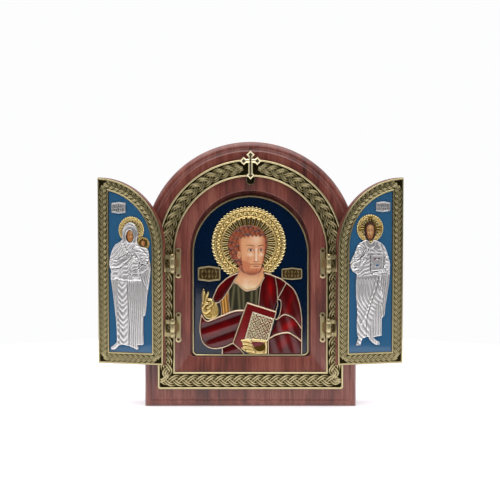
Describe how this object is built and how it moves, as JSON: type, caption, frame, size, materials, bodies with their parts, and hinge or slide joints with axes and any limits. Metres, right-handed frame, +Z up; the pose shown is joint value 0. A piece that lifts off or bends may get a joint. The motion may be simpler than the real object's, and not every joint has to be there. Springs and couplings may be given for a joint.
{
  "type": "triptych altarpiece",
  "caption": "Arched wooden tabletop triptych with a brass-framed enamel icon and two hinged relief wings.",
  "frame": {"origin": "centre of the body board's underside, halfway through its thickness", "axes": "+Z up; +X to the viewer's right across the piece; the icon faces -Y"},
  "size_m": [0.2308, 0.0402, 0.2],
  "materials": {
    "walnut": "reddish walnut under a glossy lacquer",
    "antique_brass": "cast, darkened in the recesses and rubbed bright on the high lines",
    "bright_brass": "cast and polished",
    "gilt": "gilded, chased",
    "silver": "silvered casting with grey recesses",
    "blue_enamel": "glossy vitreous enamel",
    "red_enamel": "glossy translucent enamel between brass wires",
    "painted_flesh": "painted enamel miniature, satin"
  },
  "bodies": {
    "root": {"body_board": "walnut", "arch_frame": "antique_brass", "cross": "bright_brass", "icon_tray": "antique_brass", "icon_ground": "blue_enamel", "saint_halo": "gilt", "saint_robe": "red_enamel", "saint_head": "painted_flesh", "title_plaque_left": "bright_brass", "title_plaque_right": "bright_brass", "left_lower_hinge_fixed_leaf": "antique_brass", "left_lower_hinge_pin": "antique_brass", "left_upper_hinge_fixed_leaf": "antique_brass", "left_upper_hinge_pin": "antique_brass", "right_lower_hinge_fixed_leaf": "antique_brass", "right_lower_hinge_pin": "antique_brass", "right_upper_hinge_fixed_leaf": "antique_brass", "right_upper_hinge_pin": "antique_brass"},
    "left_wing": {"left_wing_board": "walnut", "left_wing_frame": "antique_brass", "left_wing_field": "blue_enamel", "left_lower_hinge_wing_leaf": "antique_brass", "left_upper_hinge_wing_leaf": "antique_brass", "mother_figure": "silver", "mother_face": "painted_flesh", "mother_halo": "gilt", "child_halo": "gilt", "child_face": "painted_flesh", "left_wing_plaque": "silver"},
    "right_wing": {"right_wing_board": "walnut", "right_wing_frame": "antique_brass", "right_wing_field": "blue_enamel", "right_lower_hinge_wing_leaf": "antique_brass", "right_upper_hinge_wing_leaf": "antique_brass", "teacher_figure": "silver", "teacher_head": "painted_flesh", "teacher_halo": "gilt", "right_wing_plaque": "silver"}
  },
  "joints": [
    {"name": "left_wing_hinge", "type": "hinge", "parent": "root", "child": "left_wing", "pos_m": [-0.0585, -0.023, 0.08475], "axis": [0, 0, 1], "range_deg": [0, 195]},
    {"name": "right_wing_hinge", "type": "hinge", "parent": "root", "child": "right_wing", "pos_m": [0.0585, -0.023, 0.08475], "axis": [0, 0, -1], "range_deg": [0, 195]}
  ]
}
